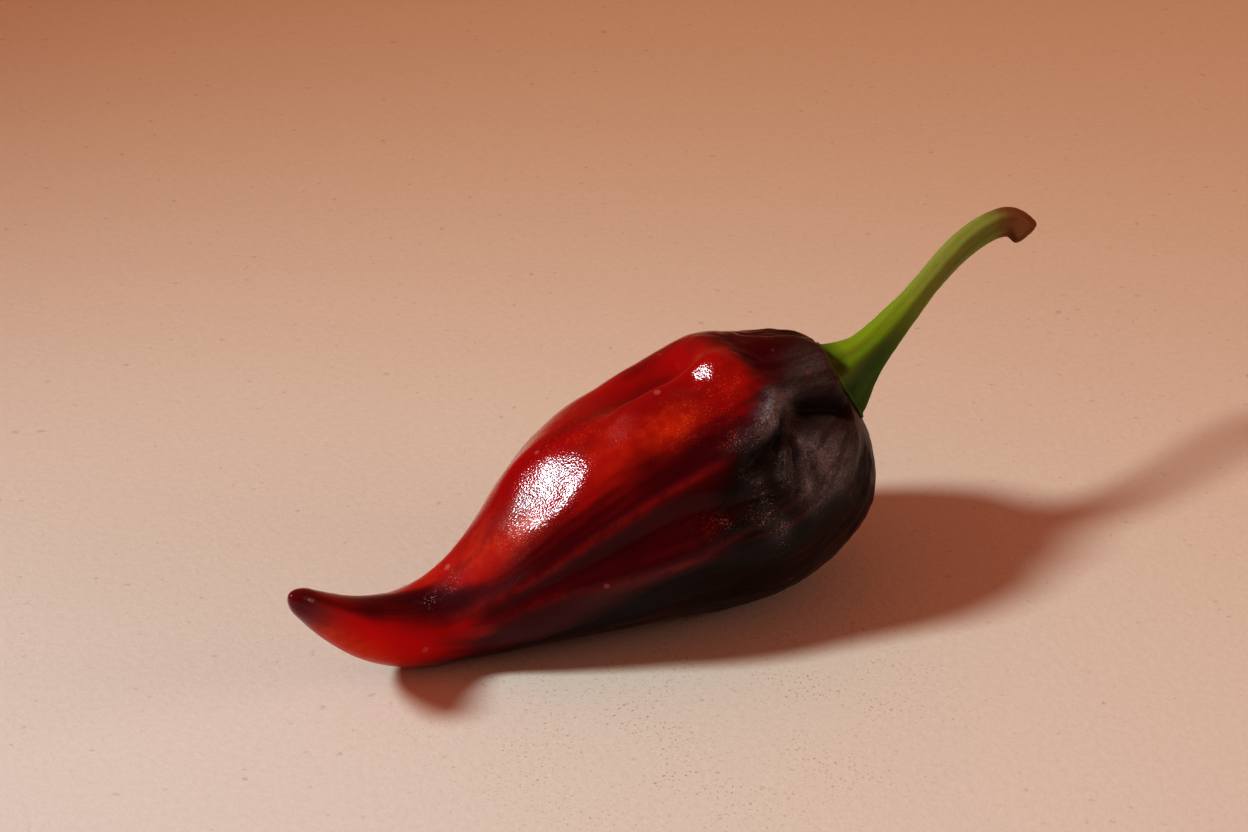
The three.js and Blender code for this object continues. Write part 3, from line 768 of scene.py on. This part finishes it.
class Graph:
    """A short way to write a material's nodes."""

    def __init__(self, name):
        self.material = bpy.data.materials.new(name)
        self.material.use_nodes = True
        self.tree = self.material.node_tree
        self.shader = self.tree.nodes["Principled BSDF"]

    def add(self, kind, **settings):
        node = self.tree.nodes.new("ShaderNode" + kind)
        for key, value in settings.items():
            setattr(node, key, value)
        return node

    def put(self, socket, value):
        """Links an output to a socket, or sets the socket's own value."""
        if isinstance(value, bpy.types.NodeSocket):
            self.tree.links.new(value, socket)
        elif isinstance(value, tuple) and len(value) == 3 and socket.type == "RGBA":
            socket.default_value = (*value, 1)
        else:
            socket.default_value = value

    def attribute(self, name, vector=False):
        """One of the values that the mesh carries at its points."""
        node = self.add("Attribute", attribute_name=name)
        return node.outputs["Vector" if vector else "Fac"]

    def place(self):
        """The piece's own coordinates, in metres."""
        return self.add("TexCoord").outputs["Object"]

    def part(self, vector, axis):
        """One axis of a vector."""
        node = self.add("SeparateXYZ")
        self.put(node.inputs[0], vector)
        return node.outputs[axis]

    def from_point(self, vector, point):
        """The distance from a point."""
        node = self.add("VectorMath", operation="DISTANCE")
        self.put(node.inputs[0], vector)
        node.inputs[1].default_value = point
        return node.outputs["Value"]

    def scaled(self, vector, scale):
        node = self.add("Mapping")
        self.put(node.inputs["Vector"], vector)
        node.inputs["Scale"].default_value = scale
        return node.outputs[0]

    def noise(self, vector, scale, detail, roughness):
        """Noise from 0 to 1, with about that many features to a unit."""
        node = self.add("TexNoise")
        self.put(node.inputs["Vector"], vector)
        node.inputs["Scale"].default_value = scale
        node.inputs["Detail"].default_value = detail
        node.inputs["Roughness"].default_value = roughness
        return node.outputs["Fac"]

    def cells(self, vector, scale, smoothness=0):
        """The distance from the middles of cells, with about that many cells to a unit."""
        node = self.add("TexVoronoi", feature="SMOOTH_F1" if smoothness else "F1")
        self.put(node.inputs["Vector"], vector)
        node.inputs["Scale"].default_value = scale
        if smoothness:
            node.inputs["Smoothness"].default_value = smoothness
        return node.outputs["Distance"]

    def math(self, operation, *values):
        node = self.add("Math", operation=operation)
        for socket, value in zip(node.inputs, values):
            self.put(socket, value)
        return node.outputs[0]

    def total(self, first, *others):
        for value in others:
            first = self.math("ADD", first, value)
        return first

    def product(self, first, *others):
        for value in others:
            first = self.math("MULTIPLY", first, value)
        return first

    def swing(self, noise, reach):
        """Noise turned into a change that reaches over that range, half of it below 0."""
        return self.math("MULTIPLY_ADD", noise, reach, -reach / 2)

    def remap(self, value, low, high, to_low=0.0, to_high=1.0):
        """Eases from to_low where the value is low to to_high where it is high."""
        node = self.add("MapRange", interpolation_type="SMOOTHSTEP")
        for key, given in (("Value", value), ("From Min", low), ("From Max", high),
                           ("To Min", to_low), ("To Max", to_high)):
            self.put(node.inputs[key], given)
        return node.outputs[0]

    def mix(self, share, colour, over):
        """A colour with that share of another laid over it."""
        node = self.add("Mix", data_type="RGBA")
        # The node's sockets for a plain share and for colours
        self.put(node.inputs[0], share)
        self.put(node.inputs[6], colour)
        self.put(node.inputs[7], over)
        return node.outputs[2]

    def layers(self, colour, *layers):
        """A colour with others laid over it one by one, each as (share, colour)."""
        for share, over in layers:
            colour = self.mix(share, colour, over)
        return colour

    def relief(self, *layers):
        """The normal over layers of relief, each as (height from 0 to 1, its depth in metres)."""
        normal = None
        for height, depth in layers:
            node = self.add("Bump")
            self.put(node.inputs["Height"], height)
            node.inputs["Distance"].default_value = depth
            node.inputs["Strength"].default_value = 1
            if normal is not None:
                self.put(node.inputs["Normal"], normal)
            normal = node.outputs[0]
        return normal

    def set(self, **values):
        """Gives the shader's sockets their values, and returns the material."""
        for key, value in values.items():
            self.put(self.shader.inputs[key.replace("_", " ")], value)
        return self.material


def skin_material():
    g = Graph("chili skin")
    paint = SKIN_COLOURS
    place = g.place()
    around = g.attribute("around", vector=True)
    bloom_and_sheen, dull, crease_shade = g.attribute("bloom_and_sheen"), g.attribute("dull"), g.attribute("crease_shade")
    # Noise drawn out along the pod, then even noise with features of 5, 1.1 and 0.2 mm
    streaks = g.noise(g.scaled(around, (0.09, 0.3, 0.3)), 1.0, 3, 0.5)
    threads = g.noise(g.scaled(around, (0.08, 1.1, 1.1)), 1.0, 3, 0.6)
    wisps = g.noise(g.scaled(around, (0.28, 0.85, 0.85)), 1.0, 3, 0.55)
    blotches = g.noise(place, 200, 3, 0.5)
    fine = g.noise(place, 900, 3, 0.55)
    pits = g.noise(place, 5200, 2, 0.6)

    # The zones, with ragged edges
    ragged = g.total(g.swing(streaks, 0.7), g.swing(blotches, 0.5))
    brown_and_shade = g.remap(g.total(g.attribute("brown_and_shade"), ragged), 0.2, 0.8)
    dusk_and_shade = g.remap(g.total(g.attribute("dusk_and_shade"), ragged), 0.15, 0.85)

    # Painted glints are orange on the red skin and grey on the brown, on the bloom and its painted
    # sheen, and on the dull places
    crowd = g.remap(g.noise(place, 900, 2, 0.5), 0.40, 0.62, 0.15, 1.0)
    dots = g.product(g.remap(g.noise(place, 6800, 1, 0.5), 0.56, 0.68), crowd, 0.75)
    pale = g.remap(g.total(brown_and_shade, bloom_and_sheen, dull), 0.2, 0.7)
    # A few pale specks of about half a millimetre
    specks = g.remap(g.cells(place, 300), 0.05, 0.12, 0.55, 0)
    colour = g.layers(
        g.mix(g.remap(streaks, 0.35, 0.7), paint["red"], paint["deep red"]),
        # Painted light shining through the thin tail
        (g.attribute("painted_shine_through"), paint["painted_shine_through"]),
        # Painted glow of light in the skin
        (g.product(g.attribute("painted_glow"), g.remap(fine, 0.3, 0.7, 0.4, 1.0)), paint["painted_glow"]),
        # Darker maroon, partly the skin's colour and partly painted shade
        (dusk_and_shade, g.mix(blotches, paint["dusk_and_shade"], paint["light dusk"])),
        # The shoulder's brown, which on the lower near flank is painted shade
        (brown_and_shade, g.layers(paint["brown_and_shade"], (fine, paint["light brown"]),
                         (g.attribute("rust"), paint["rust"]))),
        (g.product(g.remap(threads, 0.5, 0.68, 0, 0.45), g.remap(blotches, 0.4, 0.6, 0.3, 1),
                   g.remap(dusk_and_shade, 0.3, 1.0)), paint["threads"]),
        # Grey bloom, partly a painted sheen
        (g.product(bloom_and_sheen, g.remap(pits, 0.4, 0.66, 0.5, 1.0),
                   g.remap(wisps, 0.36, 0.6, 0.5, 1.25)), paint["bloom_and_sheen"]),
        # Lighter red on the ribs, partly painted light on their crests
        (g.product(g.attribute("ribs"), g.remap(fine, 0.35, 0.6, 0.5, 1)), paint["ribs"]),
        # Painted shade in the creases
        (g.product(crease_shade, 0.9), paint["crease_shade"]),
        (g.attribute("tip"), paint["tip"]),
        # Painted glints
        (g.product(g.attribute("glints"), dots),
         g.mix(pale, paint["glints"], paint["pale glints"])),
        (g.product(specks, g.remap(brown_and_shade, 0, 0.6, 1, 0.3)), paint["specks"]),
    )

    normal = g.relief(
        (g.noise(place, 700, 3, 0.5), 1e-5),
        (g.product(pits, g.remap(brown_and_shade, 0, 1, 1, 3)), 1e-5),
        # Pebbles of about 0.2 mm
        (g.cells(place, 6000, smoothness=0.6), 1.6e-5),
        (g.product(wisps, brown_and_shade), 1.5e-4),
    )
    roughness = g.total(g.remap(brown_and_shade, 0, 1, 0.17, 0.34), g.swing(pits, 0.1),
                        g.product(crease_shade, 0.5), g.product(dull, 0.5))
    broken = g.product(g.attribute("stipple"), g.remap(g.noise(place, 4600, 1, 0.5), 0.42, 0.52))
    coat = g.product(g.remap(dusk_and_shade, 0.1, 1.0, 0.54, 0.06), g.remap(dull, 0, 1, 1, 0),
                     g.remap(broken, 0, 1, 1.15, 0.05))
    return g.set(Base_Color=colour, Roughness=roughness, Normal=normal, IOR=1.25,
                 Coat_Weight=coat, Coat_Roughness=0.09, Coat_Normal=normal,
                 Subsurface_Weight=0.2, Subsurface_Radius=(1.0, 0.12, 0.05),
                 Subsurface_Scale=0.0015)


def stem_material():
    g = Graph("chili stem")
    paint = STEM_COLOURS
    place = g.place()
    around = g.attribute("around", vector=True)
    along = g.attribute("along")
    fibres = g.noise(g.scaled(around, (0.12, 1.6, 1.6)), 1.0, 4, 0.6)
    green, olive, bark = (g.mix(fibres, paint[name], paint["light " + name])
                          for name in ("green", "olive", "bark"))
    # How far along the stalk, in mm, with ragged changes of colour
    reach = g.total(along, g.swing(g.noise(place, 500, 3, 0.5), 4))
    # Painted shade: darker green down the near side and underneath, most on the calyx, and at its
    # foot where the shoulder shades it
    upward = g.math("MULTIPLY_ADD", g.part(around, "Y"), 0.13,
                    g.product(g.part(around, "Z"), 0.485))
    shade = g.product(g.remap(upward, -0.1, 0.95, 0.95, 0.1), g.remap(along, 5, 13, 1, 0.4))
    shade = g.math("MAXIMUM", shade, g.remap(along, 3, 5, 0.7, 0))
    colour = g.layers(
        green,
        (g.remap(reach, 7, 17), olive),
        # Painted shade of the calyx and stalk
        (shade, paint["shade"]),
        (g.remap(reach, 23, 27), bark),
        (g.attribute("cut"), paint["cut"]),
    )
    normal = g.relief((fibres, 1.2e-4), (g.noise(place, 3000, 2, 0.6), 2e-5))
    return g.set(Base_Color=colour, Roughness=g.remap(along, 5, 28, 0.5, 0.75), Normal=normal,
                 IOR=1.3, Subsurface_Weight=0.15, Subsurface_Radius=(0.6, 1.0, 0.2),
                 Subsurface_Scale=0.0008)


def floor_material():
    g = Graph("paper")
    paint = FLOOR_COLOURS
    place = g.place()
    grain = g.noise(place, 1400, 4, 0.65)
    specks = g.remap(g.noise(place, 900, 2, 0.5), 0.66, 0.78)
    crumbs = g.product(g.remap(g.noise(place, 3000, 2, 0.6), 0.60, 0.70),
                       g.remap(g.noise(place, 110, 2, 0.5), 0.40, 0.60, 0.3, 1),
                       g.remap(g.from_point(place, CRUMBS_MIDDLE), *CRUMBS_RADII, 0.8, 0))
    colour = g.layers(
        g.mix(grain, paint["paper"], paint["light paper"]),
        (g.product(specks, 0.3), paint["specks"]),
        (crumbs, paint["crumbs"]),
    )
    return g.set(Base_Color=colour, Roughness=0.85, Normal=g.relief((grain, 6e-5)))


# The scene

# The camera's nearest and farthest distance and the floor's reach, in metres
CAMERA_CLIP = (0.01, 20)
FLOOR_REACH = 4
WORLD_COLOUR = (1.0, 0.30, 0.14, 1)
WORLD_STRENGTH = 0.40
GAMMA = 0.72
# The lights stand round this point
LIT_MIDDLE = (0, 0, 8)
# The key is two lamps in one place: a cool one on the near floor and a warm one beyond the pod.
# Each light has its direction and the place that it shines towards, both by the camera's right, its
# forward along the floor, and up, then its distance, power, colour and other settings. Those are in
# metres and radians.
KEY_DIRECTION = (-0.71, -0.15, 0.69)
KEY_DISTANCE = 600
KEY_RADIUS = 0.058
LIGHTS = [
    ("near key", "SPOT", KEY_DIRECTION, (-69, -114, 0), KEY_DISTANCE, 11.35, (0.446, 0.80, 1.0),
     {"shadow_soft_size": KEY_RADIUS, "spot_size": math.radians(47.6), "spot_blend": 1}),
    ("far key", "SPOT", KEY_DIRECTION, (200, 87, 0), KEY_DISTANCE, 7.6, (1.0, 0.88, 0.55),
     {"shadow_soft_size": KEY_RADIUS, "spot_size": math.radians(51.2), "spot_blend": 1}),
    ("side", "AREA", (0.92, -0.1, 0.32), (0, 0, 10), 400, 0.34, (1.0, 0.80, 0.70),
     {"shape": "RECTANGLE", "size": 0.2, "size_y": 0.09}),
]


def aim(thing, back):
    """Turns a thing so that the direction back is behind it."""
    thing.rotation_mode = "QUATERNION"
    thing.rotation_quaternion = (-back).to_track_quat("-Z", "Y")


def add_camera():
    a, e = math.radians(AZIMUTH), math.radians(ELEVATION)
    back = Vector((math.sin(a) * math.cos(e), -math.cos(a) * math.cos(e), math.sin(e)))
    camera = bpy.data.objects.new("camera", bpy.data.cameras.new("camera"))
    camera.data.lens = LENS
    camera.data.sensor_width = SENSOR
    camera.data.clip_start, camera.data.clip_end = CAMERA_CLIP
    camera.location = (Vector(TARGET) + back * DISTANCE) * MM
    aim(camera, back)
    bpy.context.scene.collection.objects.link(camera)
    bpy.context.scene.camera = camera


def seen_from_camera(right, forward, up):
    """A vector given by the camera's right, its forward along the floor, and up."""
    a = math.radians(AZIMUTH)
    return (Vector((math.cos(a), math.sin(a), 0)) * right
            + Vector((-math.sin(a), math.cos(a), 0)) * forward + Vector((0, 0, up)))


def add_light(name, kind, direction, towards, distance, power, colour, settings):
    """A light that shines from a direction towards a place."""
    light = bpy.data.objects.new(name, bpy.data.lights.new(name, kind))
    for key, value in settings.items():
        setattr(light.data, key, value)
    light.data.energy = power
    light.data.color = colour
    place = Vector(LIT_MIDDLE) + seen_from_camera(*direction).normalized() * distance
    light.location = place * MM
    aim(light, (place - seen_from_camera(*towards)).normalized())
    bpy.context.scene.collection.objects.link(light)


def add_floor():
    mesh = bpy.data.meshes.new("floor")
    corners = [(-1, -1, 0), (1, -1, 0), (1, 1, 0), (-1, 1, 0)]
    mesh.from_pydata([Vector(corner) * FLOOR_REACH for corner in corners], [], [(0, 1, 2, 3)])
    floor = bpy.data.objects.new("floor", mesh)
    mesh.materials.append(floor_material())
    bpy.context.scene.collection.objects.link(floor)


def set_world():
    world = bpy.data.worlds.new("world")
    world.use_nodes = True
    background = world.node_tree.nodes["Background"]
    background.inputs["Color"].default_value = WORLD_COLOUR
    background.inputs["Strength"].default_value = WORLD_STRENGTH
    bpy.context.scene.world = world
    bpy.context.scene.view_settings.view_transform = "Standard"
    bpy.context.scene.view_settings.gamma = GAMMA


pod = make_pod()
pod.data.materials.append(skin_material())
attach(pod, "root")
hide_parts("pod")

stem = make_stem(pod)
stem.data.materials.append(stem_material())
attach(stem, "root")
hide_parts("stem")

add_camera()
add_floor()
set_world()
for light in LIGHTS:
    add_light(*light)
